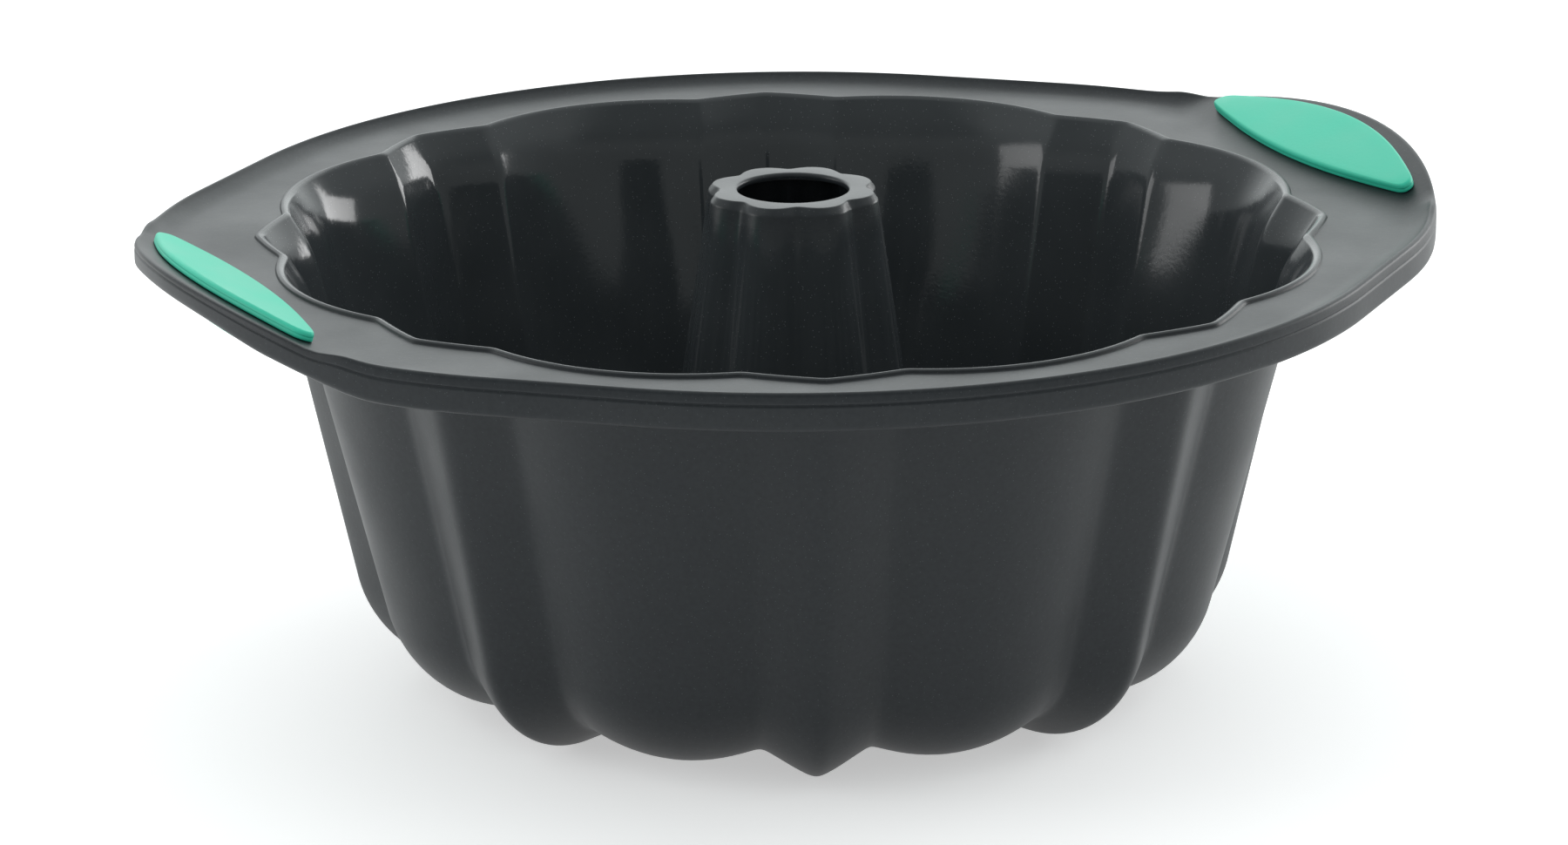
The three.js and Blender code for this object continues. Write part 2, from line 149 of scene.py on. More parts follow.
def notch_depth(angle):
    """How far the tube's notches go in, in line with the ribs.

    The depth falls as (1 - d / half pitch)^2 with the distance d from a rib, rounded at d = 0.
    """
    reach = soft_distance(half_pitch, NOTCH_ROUND)
    return TUBE_NOTCH * (1 - soft_distance(angle_from_rib(angle), NOTCH_ROUND) / reach) ** NOTCH_POWER


angles = column_angles()
print(f"{angles.size} columns round the pan")

# %% [markdown]
# ## The section from the tube to the wall
#
# Cut the pan through its middle and half of it is a letter U: down the tube, round a large arc, across a
# short floor, round a second arc and up the leaning wall. A U could be drawn as a curve object and spun,
# but a spin can't carry flutes. So the U is kept as points with normals, and each flute pushes its points
# out along them. Pushed by the flute alone they give the outside, and pulled back by the wall's thickness
# they give the cavity.

# %% The letter U, with its normals
TUBE_STEPS = 10
TUBE_ARC_STEPS = 18
WALL_ARC_STEPS = 22
WALL_STEPS = 12
FLANGE_THICKNESS = 3.0
FLANGE_FILLET = 5.0


def smoothstep(value, low, high):
    """3 t^2 - 2 t^3 of the share t that a value has gone from low to high."""
    share = np.clip((value - low) / (high - low), 0, 1)
    return share * share * (3 - 2 * share)


def wall_radius(z):
    """The outside of the wall in a valley: a straight line that leans by the draft."""
    return WALL_TOP_RADIUS - (FLANGE_HEIGHT - z) * np.tan(WALL_DRAFT)


def tube_under_radius(z):
    """The face inside the hollow tube, a wall's thickness under its outer face."""
    return TUBE_TOP_RADIUS - WALL / np.cos(TUBE_DRAFT) + (TUBE_TOP - z) * np.tan(TUBE_DRAFT)


def arc(centre, radius, start, end, steps):
    """Points centre + radius (cos t, sin t) and their normals (cos t, sin t), for t from start to end."""
    turn = np.linspace(start, end, steps + 1)
    normal = np.stack([np.cos(turn), np.sin(turn)], axis=1)
    return np.asarray(centre) + radius * normal, normal


def straight(radius_at, top, bottom, normal, steps):
    """Points on a leaning line between two heights, all with one normal."""
    z = np.linspace(top, bottom, steps + 1)
    return np.stack([radius_at(z), z], axis=1), np.tile(normal, (steps + 1, 1))


def pan_profile():
    """Points and normals of the U, with each point's share of the wall and its share of the way up it."""
    tube_arc_z = RIB_BASE_DEPTH + TUBE_ROUND
    tube_arc_r = tube_under_radius(tube_arc_z) + TUBE_ROUND / np.cos(TUBE_DRAFT)
    wall_arc_z = RIB_BASE_DEPTH + WALL_ROUND
    wall_arc_r = wall_radius(wall_arc_z) - WALL_ROUND / np.cos(WALL_DRAFT)
    tube_foot = tube_arc_z - TUBE_ROUND * np.sin(TUBE_DRAFT)
    wall_foot = wall_arc_z - WALL_ROUND * np.sin(WALL_DRAFT)
    wall_top = FLANGE_HEIGHT - FLANGE_THICKNESS - FLANGE_FILLET
    tube_normal = (-np.cos(TUBE_DRAFT), -np.sin(TUBE_DRAFT))
    wall_normal = (np.cos(WALL_DRAFT), -np.sin(WALL_DRAFT))
    runs = [
        straight(tube_under_radius, TUBE_TOP - TUBE_CHAMFER, tube_foot, tube_normal, TUBE_STEPS),
        arc((tube_arc_r, tube_arc_z), TUBE_ROUND, np.pi + TUBE_DRAFT, 1.5 * np.pi, TUBE_ARC_STEPS),
        arc((wall_arc_r, wall_arc_z), WALL_ROUND, -0.5 * np.pi, -WALL_DRAFT, WALL_ARC_STEPS),
        straight(wall_radius, wall_foot, wall_top, wall_normal, WALL_STEPS),
    ]
    on_tube, on_bend, on_floor, on_wall = [len(points) for points, _ in runs]
    ease = smoothstep(np.linspace(0, 1, on_bend), 0, 1)
    wall_share = np.concatenate([np.zeros(on_tube), ease, np.ones(on_floor + on_wall)])
    up_share = np.concatenate([np.zeros(on_tube + on_bend + on_floor), np.linspace(0, 1, on_wall)])
    keep = np.ones(wall_share.size, bool)
    keep[[on_tube, on_tube + on_bend + on_floor]] = False
    points = np.concatenate([points for points, _ in runs])
    normals = np.concatenate([normal for _, normal in runs])
    return points[keep], normals[keep], wall_share[keep, None], up_share[keep, None]


profile = pan_profile()
floor_height = profile[0][:, 1].min()
print(f"the U has {len(profile[0])} points; its floor lies {floor_height:.1f} mm up in the valleys")

# %% [markdown]
# Inside, the mould leaves crisp flutes. Outside, silicone is thicker in the corners and the edges are
# softer, so the two faces share the U and differ in how much their tips and valleys are rounded. Soft
# walls are never quite true, and a glossy one shows it: a few shallow waves, seeded so that they never
# change, bend its mirror images as on the real pan.

# %% The two faces of the shell
INSIDE_TIP = np.radians(0.5)
INSIDE_VALLEY = 0.5
OUTSIDE_TIP = np.radians(1.4)
OUTSIDE_VALLEY = 1.4
WAVE_DEPTH = 0.14
WAVES = 7
WAVES_ROUND = (5, 20)
WAVES_UP = (0.4, 1.5)
WAVE_SEED = 5


def wall_waves(angle, up_share):
    """Sum of cos(k angle + a) cos(2 pi m up + b) over a few seeded waves, nothing at both ends."""
    seeded = np.random.default_rng(WAVE_SEED)
    total = np.zeros((up_share.size, angle.size))
    for _ in range(WAVES):
        round_count = seeded.integers(*WAVES_ROUND)
        up_count = seeded.uniform(*WAVES_UP)
        start, low = seeded.uniform(0, 2 * np.pi, 2)
        total += np.cos(round_count * angle + start) * np.cos(2 * np.pi * up_count * up_share + low)
    return 4 * up_share * (1 - up_share) * total


def shell_rows(angle, inset, tip_round, valley_round):
    """The U moved along its normals by (flute depth - inset).

    Gives rows of radius and rows of height, with one column for each angle.
    """
    points, normals, wall_share, up_share = profile
    rib = RIB_BASE_DEPTH + (RIB_DEPTH - RIB_BASE_DEPTH) * up_share
    lobe = LOBE_BASE_DEPTH + (LOBE_DEPTH - LOBE_BASE_DEPTH) * up_share
    flutes = flute_depth(angle[None, :], rib, lobe, tip_round, valley_round)
    notches = notch_depth(angle)[None, :]
    out = wall_share * flutes + (1 - wall_share) * notches - inset
    return points[:, :1] + normals[:, :1] * out, points[:, 1:] + normals[:, 1:] * out


uneven = WAVE_DEPTH * wall_waves(angles, profile[3])
inside = shell_rows(angles, WALL + uneven, INSIDE_TIP, INSIDE_VALLEY)
outside = shell_rows(angles, 0.0, OUTSIDE_TIP, OUTSIDE_VALLEY)
print(f"cavity {2 * inside[0].max():.1f} mm wide inside, lowest rib at {outside[1].min():.2f} mm")

# %% [markdown]
# ## The rim's outline
#
# Seen from above, the rim is a belt laid round three discs: a large one in the middle and a tighter one
# at each handle. It could be drawn as a curve and offset with a tool, but the belt has a neat property:
# moving it out by a distance is the same as growing every disc by it. One function then serves every line
# along the rim.

# %% The belt round three discs
BEND_SOFTNESS = 1.6
HANDLE_BLEND = 10.0
BEND_BOW = 2.2
BOW_HALF_LENGTH = 43.0
CREST_FADE = (0.5, 3.0)
DROP_FADE = (5.0, 8.0)
RIM_DROP = 1.4
HANDLE_DROP = 0.4
WIRE_CHANNEL_RADIUS = 1.5
WIRE_COVER = 1.4
HANDLE_COVER = 0.8
EDGE_OVERHANG = 1.0
handle_depth = 2 * (HANDLE_COVER + WIRE_CHANNEL_RADIUS)
bead_depth = handle_depth + RIM_DROP
bead_inner = EDGE_OVERHANG - 2 * (WIRE_COVER + WIRE_CHANNEL_RADIUS)


def rim_radius(angle, offset):
    """Radius of the belt moved outwards by an offset: side disc, end disc or the line that touches both."""
    side = side_radius + offset
    end = end_radius + offset
    cos, sin = np.abs(np.cos(angle)), np.abs(np.sin(angle))
    bearing = np.arctan2(sin, cos)
    tangent = np.arccos(END_TIGHTER / end_centre)
    on_end = end_centre * cos + np.sqrt(end**2 - (end_centre * sin) ** 2)
    end_bearing = np.arctan2(on_end * sin, on_end * cos - end_centre)
    on_line = side / np.cos(bearing - tangent)
    return np.where(bearing >= tangent, side, np.where(end_bearing <= tangent, on_end, on_line))


def lift(angle, radius):
    """Rise of a handle beyond its bend line: slope times w ln(1 + exp((x - bend) / w)), a softened ramp.

    The bend line bows outwards, bend = middle + bow (y / half length)^2, so a handle's corners hang lower.
    """
    bend = bend_x + BEND_BOW * (radius * np.sin(angle) / BOW_HALF_LENGTH) ** 2
    beyond = (np.abs(radius * np.cos(angle)) - bend) / BEND_SOFTNESS
    return np.tan(HANDLE_SLOPE) * BEND_SOFTNESS * np.logaddexp(0.0, beyond)


def flange_depth(angle, radius):
    """The flange's thickness, which grows to the handle's depth where it becomes a handle."""
    share = smoothstep(np.abs(radius * np.cos(angle)), bend_x - HANDLE_BLEND, bend_x)
    return FLANGE_THICKNESS + (handle_depth - FLANGE_THICKNESS) * share


def handle_share(angle, low, high):
    """How far the rim has become the end of a handle: a smoothstep of its rise between two heights."""
    return smoothstep(lift(angle, rim_radius(angle, 0.0)), low, high)


print(f"rim {2 * rim_radius(0.0, EDGE_OVERHANG):.1f} mm long, bead {bead_depth:.1f} mm deep")

# %% [markdown]
# ## Edges with a soft turn
#
# Moulded edges are never sharp. A bevel modifier could round them, but it needs clean edge loops and
# gives each edge one width. Here a section is a short list of corners, and each corner is replaced by a
# small curve that starts and ends a set distance from it. The same call works on all columns at once.

# %% Corners turned into curves
CUT_LIMIT = 0.49


def rounded(corners, cuts, steps):
    """A polyline with its inner corners cut by quadratic curves.

    Each curve is (1 - t)^2 before + 2 t (1 - t) corner + t^2 after. It takes at most CUT_LIMIT of a side,
    so that neighbours don't meet. Corners have shape (count, 2, columns).
    """
    corners = np.asarray(corners)
    t = np.linspace(0, 1, steps + 1)[:, None, None]
    rows = []
    for last, corner, following, cut in zip(corners[:-2], corners[1:-1], corners[2:], cuts):
        ends = []
        for other in (last, following):
            way = other - corner
            length = np.linalg.norm(way, axis=0)
            ends.append(corner + way / length * np.minimum(cut, CUT_LIMIT * length))
        rows.append((1 - t) ** 2 * ends[0] + 2 * t * (1 - t) * corner + t**2 * ends[1])
    return np.concatenate(rows)


def column_points(pairs):
    """Corners as (radius, height) pairs, each spread over all columns."""
    spread = np.zeros_like(angles)
    return np.array([[radius + spread, height + spread] for radius, height in pairs])


square_corner = [[[0], [1]], [[0], [0]], [[1], [0]]]
print("corner of a square, rounded:", rounded(square_corner, [0.5], 2)[:, :, 0].tolist())

# %% [markdown]
# ## The mouth's lip
#
# Just under the flange the inner wall flares out on a soft curve, so that batter runs off and the cake
# lets go. The flare ends in a low bead that follows every flute. It catches the light over the dark
# cavity, and its outer side ends in a fine line on the flange.

# %% From the inner wall over the lip to the flange
LIP_STEPS = 6
LIP_TAKES = 2
LIP_HEIGHT = 0.8
LIP_INSIDE_SHARE = 0.5
LIP_TOP_SHARE = 0.62
LIP_SIDE_SHARE = 0.9
LIP_CUTS = (0.55, 0.35, 0.15, 0.12)
FLARE_LEAN = np.radians(58.0)
FLARE_CUT = 5.0
FLAT_START = 2.0
lip_inside = LIP_INSIDE_SHARE * LIP_HEIGHT
flare_run = 1 / np.tan(FLARE_LEAN)
flare_drop = (LIP_REACH + lip_inside - lip_inside * flare_run) / (flare_run - np.tan(WALL_DRAFT))


def lip_rows():
    """The flare and the lip, set out from the line where the inner wall would meet the flange.

    The flare's corner is where the wall's line and the flare's line cross, flare_drop below the flange. The
    flare takes over the top rows of the inner wall.
    """
    root = lip_root + flute_depth(angles, RIB_DEPTH, LOBE_DEPTH, INSIDE_TIP, INSIDE_VALLEY)
    top = FLANGE_HEIGHT
    edge = root + LIP_REACH
    last = -1 - LIP_TAKES
    corners = column_points([
        (inside[0][last], inside[1][last]),
        (root - flare_drop * np.tan(WALL_DRAFT), top - flare_drop),
        (edge + lip_inside, top + lip_inside),
        (edge + LIP_TOP_SHARE * LIP_WIDTH, top + LIP_HEIGHT),
        (edge + LIP_SIDE_SHARE * LIP_WIDTH, top + LIP_TOP_SHARE * LIP_HEIGHT),
        (edge + LIP_WIDTH, top),
        (edge + LIP_WIDTH + FLAT_START, top),
    ])
    return rounded(corners, [FLARE_CUT, *LIP_CUTS], LIP_STEPS)


lip = lip_rows()
print(f"the lip stands {lip[:, 1].max() - FLANGE_HEIGHT:.2f} mm over the flange")

# %% [markdown]
# ## Flange, crest and rim
#
# The flange runs flat from the lip, then curves up to a thin crest at the rim. On the handles the crest
# is gone and the rim is shallower. Its face has a fine groove where the two halves of the mould met, and
# below that a bead deep enough to hold the stiffening wire. Under a handle the bead starts further out,
# clear of the lower pad.

# %% Rows of the flange and the rim
RISE_WIDTH = 6.0
CREST_RISE = 2.1
CREST_ROUND = 0.7
CREST_FOOT_SHARE = 0.9
CREST_BACK = 0.1
CREST_TIP = 0.02
CREST_CUT = 0.45
SHOULDER_BACK = 0.3
SHOULDER_DROP = 0.35
SHOULDER_CUT = 0.55
GROOVE_DEPTH = 0.3
GROOVE_HALF = 0.35
GROOVE_CUTS = (0.3, 0.12, 0.25)
PARTING_SHARE = 0.31
FACE_CUT = 1.6
BEAD_CUT = 0.5
BEAD_SLANT = 0.5
HANDLE_BEAD_SHIFT = 2.4
FLANGE_ROWS = 10
RISE_ROWS = 7
RIM_STEPS = 5


def between(low, high, count):
    """Rows that step evenly from one line of radii to another, without the ends."""
    share = np.linspace(0, 1, count + 2)[1:-1, None]
    return low + (high - low) * share


crest = CREST_RISE * (1 - handle_share(angles, *CREST_FADE))
rim_depth = bead_depth - (RIM_DROP - HANDLE_DROP) * handle_share(angles, *DROP_FADE)
bead_line = bead_inner + HANDLE_BEAD_SHIFT * handle_share(angles, *CREST_FADE)
bead_root = bead_line - BEAD_SLANT


def flange_top_rows(foot):
    """Flat flange, then a parabola up to the crest.

    It has risen by crest ((d + width) / width)^2 at the offset d from the crest.
    """
    rise = rim_radius(angles, -RISE_WIDTH)
    offsets = np.linspace(-RISE_WIDTH, -CREST_ROUND, RISE_ROWS)[:, None]
    flat = between(foot, rise, FLANGE_ROWS)
    curved = rim_radius(angles[None, :], offsets)
    height = crest * ((offsets + RISE_WIDTH) / RISE_WIDTH) ** 2
    radius = np.concatenate([flat, curved])
    heights = np.concatenate([np.zeros_like(flat), height + np.zeros_like(curved)])
    return np.stack([radius, heights], axis=1)


def rim_face_rows():
    """The crest, the face with its parting groove, and the bead's underside, as offsets from the crest."""
    face = EDGE_OVERHANG
    parting = crest - PARTING_SHARE * (crest + rim_depth)
    under = -flange_depth(angles, rim_radius(angles, bead_line))
    section = [
        (-CREST_ROUND, CREST_FOOT_SHARE * crest),
        (-CREST_BACK, crest + CREST_TIP),
        (face - SHOULDER_BACK, crest - SHOULDER_DROP),
        (face, parting + GROOVE_HALF),
        (face - GROOVE_DEPTH, parting),
        (face, parting - GROOVE_HALF),
        (face, -rim_depth),
        (bead_line, -rim_depth),
        (bead_root, under),
    ]
    corners = column_points([(rim_radius(angles, offset), height) for offset, height in section])
    return rounded(corners, [CREST_CUT, SHOULDER_CUT, *GROOVE_CUTS, FACE_CUT, BEAD_CUT], RIM_STEPS)


def flange_under_rows(wall_outer):
    """The flange's underside from the bead back to the fillet where it meets the outer wall."""
    foot = wall_outer + FLANGE_FILLET
    start = rim_radius(angles, bead_root)
    radius = np.concatenate([between(start, foot, FLANGE_ROWS), foot[None, :]])
    return np.stack([radius, -flange_depth(angles, radius)], axis=1)


def lifted(rows):
    """Heights measured from the flange, set on it and raised with the handles."""
    radius, height = rows[:, 0], rows[:, 1]
    return np.stack([radius, FLANGE_HEIGHT + height + lift(angles[None, :], radius)], axis=1)


rim_parts = [flange_top_rows(lip[-1, 0]), rim_face_rows(), flange_under_rows(outside[0][-1])]
rim = np.concatenate([lifted(part) for part in rim_parts])
print(f"{len(rim)} rows over the rim, crest {rim[:, 1].max():.1f} mm over the ground at the handles")

# %% [markdown]
# ## The top of the tube
#
# The tube ends in a flat ring with a chamfer round its lobes and a hole that lets hot air through. The ring
# closes the section: after it the rows are back where they began, so the pan is one skin without a border.

# %% Rows over the tube's end
TUBE_TOP_STEPS = 5
TUBE_TAKES = 3
RING_SHARE = 0.55
RING_CUTS = (1.2, 0.4, 0.8, 0.3, 0.3)


def tube_top_rows():
    """From the hollow under the ring, through the hole and over the flat ring to the chamfer.

    It takes over the first rows in the hollow and the first row on the tube's outer face.
    """
    notch = notch_depth(angles)
    under_z = TUBE_TOP - WALL
    under = tube_under_radius(under_z) - notch
    outer = TUBE_TOP_RADIUS - notch
    corners = column_points([
        (outside[0][TUBE_TAKES], outside[1][TUBE_TAKES]),
        (under, under_z),
        (HOLE_RADIUS, under_z),
        (HOLE_RADIUS, TUBE_TOP),
        (outer - RING_SHARE * TUBE_CHAMFER, TUBE_TOP),
        (inside[0][0], inside[1][0]),
        (inside[0][1], inside[1][1]),
    ])
    return rounded(corners, RING_CUTS, TUBE_TOP_STEPS)


tube_top = tube_top_rows()
print(f"tube hole {2 * HOLE_RADIUS:.1f} mm wide, {TUBE_TOP - FLANGE_HEIGHT:.1f} mm over the flange")

# %% [markdown]
# ## From rows to a mesh
#
# All rows together are a net that closes both ways, like the skin of a ring doughnut. The vertices are
# one array, the faces are index arithmetic, and foreach_set hands both over without a loop. Each face
# corner also gets a place on a map (round the pan, along the section), and each vertex a share of gloss,
# which also paints light into the colour of the glossy parts.

# %% Build the closed net


def net_faces(rows, columns):
    """Quads (row, column), (row + 1, column), (row + 1, column + 1), (row, column + 1), both ways closed."""
    row, column = np.meshgrid(np.arange(rows), np.arange(columns), indexing="ij")
    next_row, next_column = (row + 1) % rows, (column + 1) % columns
    index = [row * columns + column, next_row * columns + column]
    index += [next_row * columns + next_column, row * columns + next_column]
    places = [(column, row), (column, row + 1), (column + 1, row + 1), (column + 1, row)]
    faces = np.stack(index, axis=-1).reshape(-1, 4)
    spots = np.stack([np.stack([u / columns, v / rows], axis=-1) for u, v in places], axis=-2)
    return faces, spots.reshape(-1, 2)


def new_piece(name, vertices, faces):
    """A smooth-shaded mesh object at the origin, from arrays of vertices in millimetres and of faces."""
    mesh = bpy.data.meshes.new(name)
    corners = faces.shape[1]
    mesh.vertices.add(len(vertices))
    mesh.vertices.foreach_set("co", (vertices * METRES_PER_MM).astype(np.float32).ravel())
    mesh.loops.add(faces.size)
    mesh.loops.foreach_set("vertex_index", faces.astype(np.int32).ravel())
    mesh.polygons.add(len(faces))
    mesh.polygons.foreach_set("loop_start", np.arange(0, faces.size, corners, dtype=np.int32))
    mesh.polygons.foreach_set("use_smooth", np.ones(len(faces), bool))
    mesh.update(calc_edges=True)
    mesh.validate()
    piece = bpy.data.objects.new(name, mesh)
    bpy.context.scene.collection.objects.link(piece)
    return piece


cavity = np.stack(inside, axis=1)[1:-LIP_TAKES]
underside = np.stack(outside, axis=1)[TUBE_TAKES:][::-1]
sections = [cavity, lip, rim, underside, tube_top]
section = np.concatenate(sections)
radius, height = section[:, 0], section[:, 1]
skin = np.stack([radius * np.cos(angles), radius * np.sin(angles), height], axis=-1).reshape(-1, 3)
faces, spots = net_faces(len(section), angles.size)
pan_shell = new_piece("pan_shell", skin, faces)
print(f"pan_shell: {len(skin)} vertices, {2 * len(faces)} triangles")

# %% The map and the share of gloss, which also sets where light is painted
GLOSS_ON_RING = 0.25
GLOSS_CORNERS = (1, 4)
gloss_levels = [1.0, 1.0, 0.0, 0.0, GLOSS_ON_RING]
gloss_rows = np.concatenate([np.full(len(part), level) for part, level in zip(sections, gloss_levels)])
lip_start = len(cavity)
fade_start, fade_end = (LIP_STEPS * corner for corner in GLOSS_CORNERS)
gloss_rows[lip_start:lip_start + len(lip)] = 1 - smoothstep(np.arange(len(lip)), fade_start, fade_end)
gloss = np.repeat(gloss_rows, angles.size)
gloss_layer = pan_shell.data.attributes.new("gloss", "FLOAT", "POINT")
gloss_layer.data.foreach_set("value", gloss.astype(np.float32))
map_layer = pan_shell.data.uv_layers.new(name="section")
map_layer.data.foreach_set("uv", spots.astype(np.float32).ravel())
print(f"gloss from {gloss.min():.2f} on the flange to {gloss.max():.2f} in the cavity")

# %% [markdown]
# ## Charcoal silicone
#
# The moulding is one dark, slightly blue grey. The mould was polished where the cake lies and blasted
# elsewhere, so the cavity is glossy and the rest satin. Where it is glossy the colour is painted lighter,
# which is painted light in the shaded cavity. Pale specks of dust and filler show on it, and are painted
# lighter there too. The colour could be painted on a picture, but noise on Object coordinates needs no map
# and keeps its scale on every surface.

# %% Helpers for shader nodes
NOISE_SPAN = (0.3, 0.7)
MIX_SOCKETS = {"FLOAT": (2, 3, 0), "RGBA": (6, 7, 2)}


def add_node(tree, kind, **values):
    """A new shader node with its properties set."""
    node = tree.nodes.new(kind)
    for key, value in values.items():
        setattr(node, key, value)
    return node


def set_inputs(node, **values):
    """Constant values on a node's own sockets, named with underscores for spaces."""
    for key, value in values.items():
        node.inputs[key.replace("_", " ")].default_value = value
    return node


def new_material(name):
    """An empty node material with a Principled shader joined to its output."""
    material = bpy.data.materials.new(name)
    material.use_nodes = True
    tree = material.node_tree
    tree.nodes.clear()
    shader = add_node(tree, "ShaderNodeBsdfPrincipled")
    output = add_node(tree, "ShaderNodeOutputMaterial")
    tree.links.new(shader.outputs["BSDF"], output.inputs["Surface"])
    return material, tree, shader


def noise(tree, coordinates, scale, detail):
    """A noise texture on the given coordinates, with features about 1 / scale metres wide."""
    texture = add_node(tree, "ShaderNodeTexNoise")
    set_inputs(texture, Scale=scale, Detail=detail)
    tree.links.new(coordinates, texture.inputs["Vector"])
    return texture.outputs["Fac"]


def ranged(tree, value, low, high):
    """A noise value carried from its usual span to the span that a finish needs."""
    node = add_node(tree, "ShaderNodeMapRange")
    set_inputs(node, From_Min=NOISE_SPAN[0], From_Max=NOISE_SPAN[1], To_Min=low, To_Max=high)
    tree.links.new(value, node.inputs["Value"])
    return node.outputs["Result"]


def feed(tree, socket, value):
    """Give a socket its value: a link from another socket, or a constant."""
    if isinstance(value, bpy.types.NodeSocket):
        tree.links.new(value, socket)
    else:
        socket.default_value = value


def mixed(tree, share, first, second, kind="RGBA"):
    """A colour or a plain value between two, by a share. A Mix node has its own sockets for each kind."""
    node = add_node(tree, "ShaderNodeMix", data_type=kind)
    low, high, result = MIX_SOCKETS[kind]
    tree.links.new(share, node.inputs[0])
    feed(tree, node.inputs[low], first)
    feed(tree, node.inputs[high], second)
    return node.outputs[result]


def math_node(tree, operation, first, second):
    """One sum, product or comparison of sockets and numbers."""
    node = add_node(tree, "ShaderNodeMath", operation=operation)
    for socket, value in zip(node.inputs, (first, second)):
        feed(tree, socket, value)
    return node.outputs["Value"]


def specks(tree, coordinates, spacing, size, share):
    """1 on small round specks, 0 elsewhere: cells a spacing apart, of which only a share carries a speck."""
    cells = add_node(tree, "ShaderNodeTexVoronoi")
    set_inputs(cells, Scale=1 / (spacing * METRES_PER_MM))
    tree.links.new(coordinates, cells.inputs["Vector"])
    pick = add_node(tree, "ShaderNodeSeparateColor")
    tree.links.new(cells.outputs["Color"], pick.inputs["Color"])
    near = math_node(tree, "LESS_THAN", cells.outputs["Distance"], size / spacing)
    chosen = math_node(tree, "LESS_THAN", pick.outputs["Red"], share)
    return math_node(tree, "MULTIPLY", near, chosen)


def moulded_skin(tree, shader, grain, strength, depth):
    """A fine bump from a grain, as a mould leaves it. The depth is in millimetres."""
    bump = set_inputs(add_node(tree, "ShaderNodeBump"), Strength=strength, Distance=depth * METRES_PER_MM)
    tree.links.new(grain, bump.inputs["Height"])
    tree.links.new(bump.outputs["Normal"], shader.inputs["Normal"])


print("node helpers ready")

# %% The charcoal finish
SATIN_DARK = (0.0085, 0.0116, 0.0146, 1)
SATIN_LIGHT = (0.0136, 0.0174, 0.0208, 1)
# Lighter copies of the satin colours for the glossy cavity, lip and ring: painted light in the shaded
# cavity.
PAINTED_LIT_DARK = (0.0325, 0.0375, 0.0410, 1)
PAINTED_LIT_LIGHT = (0.0440, 0.0495, 0.0535, 1)
SATIN_SPECK = (0.055, 0.060, 0.066, 1)
# A lighter copy of the satin speck for the glossy parts: dust with painted light on it.
PAINTED_LIT_SPECK = (0.14, 0.15, 0.16, 1)
SPECK_SPACING = 0.9
SPECK_SIZE = 0.10
SPECK_SHARE = 0.9
CLOUD_SCALE = 38.0
CLOUD_DETAIL = 4.0
GRAIN_SCALE = 900.0
GRAIN_DETAIL = 2.0
SKIN_STRENGTH = 0.12
SKIN_DEPTH = 0.12
SILICONE_IOR = 1.41
SATIN = (0.40, 0.48)
GLOSSY = (0.09, 0.15)


def charcoal_silicone():
    """Dark silicone, satin or glossy by the vertex share, with clouds, specks, a fine moulded skin and
    painted light where glossy.
    """
    material, tree, shader = new_material("charcoal_silicone_skin")
    place = add_node(tree, "ShaderNodeTexCoord").outputs["Object"]
    gloss_and_painted_light_share = add_node(tree, "ShaderNodeAttribute", attribute_name="gloss").outputs["Fac"]
    clouds = noise(tree, place, CLOUD_SCALE, CLOUD_DETAIL)
    grain = noise(tree, place, GRAIN_SCALE, GRAIN_DETAIL)
    satin_colour = mixed(tree, ranged(tree, grain, 0, 1), SATIN_DARK, SATIN_LIGHT)
    # Painted light: the glossy cavity, lip and ring get lighter colours and lighter specks than the satin
    # parts.
    painted_lit_colour = mixed(tree, ranged(tree, clouds, 0, 1), PAINTED_LIT_DARK, PAINTED_LIT_LIGHT)
    colour = mixed(tree, gloss_and_painted_light_share, satin_colour, painted_lit_colour)
    speck_colour_with_painted_light = mixed(tree, gloss_and_painted_light_share, SATIN_SPECK, PAINTED_LIT_SPECK)
    dust = specks(tree, place, SPECK_SPACING, SPECK_SIZE, SPECK_SHARE)
    colour = mixed(tree, dust, colour, speck_colour_with_painted_light)
    tree.links.new(colour, shader.inputs["Base Color"])
    satin = ranged(tree, clouds, *SATIN)
    glossy = ranged(tree, clouds, *GLOSSY)
    tree.links.new(mixed(tree, gloss_and_painted_light_share, satin, glossy, "FLOAT"), shader.inputs["Roughness"])
    set_inputs(shader, IOR=SILICONE_IOR)
    moulded_skin(tree, shader, grain, SKIN_STRENGTH, SKIN_DEPTH)
    return material


pan_shell.data.materials.append(charcoal_silicone())
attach(pan_shell, "root")
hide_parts("pan_body")
print("pan_shell finished in charcoal silicone")

# %% [markdown]
# ## Grip pads
#
# Each handle has a lens-shaped pad of mint silicone on its upper face and a blunter one on its underside.
# A pad could be a subdivided box, but its two bowed edges meet in small round tips, which a formula draws
# exactly. The pad is a stack of such outlines, drawn in towards the top by a quarter circle, with a fine
# mould line on its side.

# %% The pad's outline and its stack of layers
PAD_INSET = 2.2
PAD_MARGIN = 3.2
PAD_HALF_LENGTH = 43.0
PAD_TIP_INSET = 1.3
PAD_THICKNESS = 2.0
PAD_GAP = 0.15
PAD_TOP_ROUND = 0.9
PAD_BOTTOM_ROUND = 0.3
PAD_FULLNESS = 1.7
PAD_ROUNDNESS = 1.2
PAD_ROUND_POWER = 3
PAD_TIP_TRIM = 1.4
UNDER_INSET = 3.0
UNDER_MARGIN = 3.5
UNDER_HALF_LENGTH = 26.0
UNDER_FULLNESS = 0.75
PAD_CROWN = 0.12
PAD_LINE = 0.08
PAD_LINE_SHARE = 0.45
PAD_STEPS = 160
PAD_ROUND_STEPS = 6
PAD_FACE_STEPS = 8


def along_slope(x):
    """Distance up a handle from its bend line, for a place measured on the level."""
    return (x - bend_x) / np.cos(HANDLE_SLOPE)


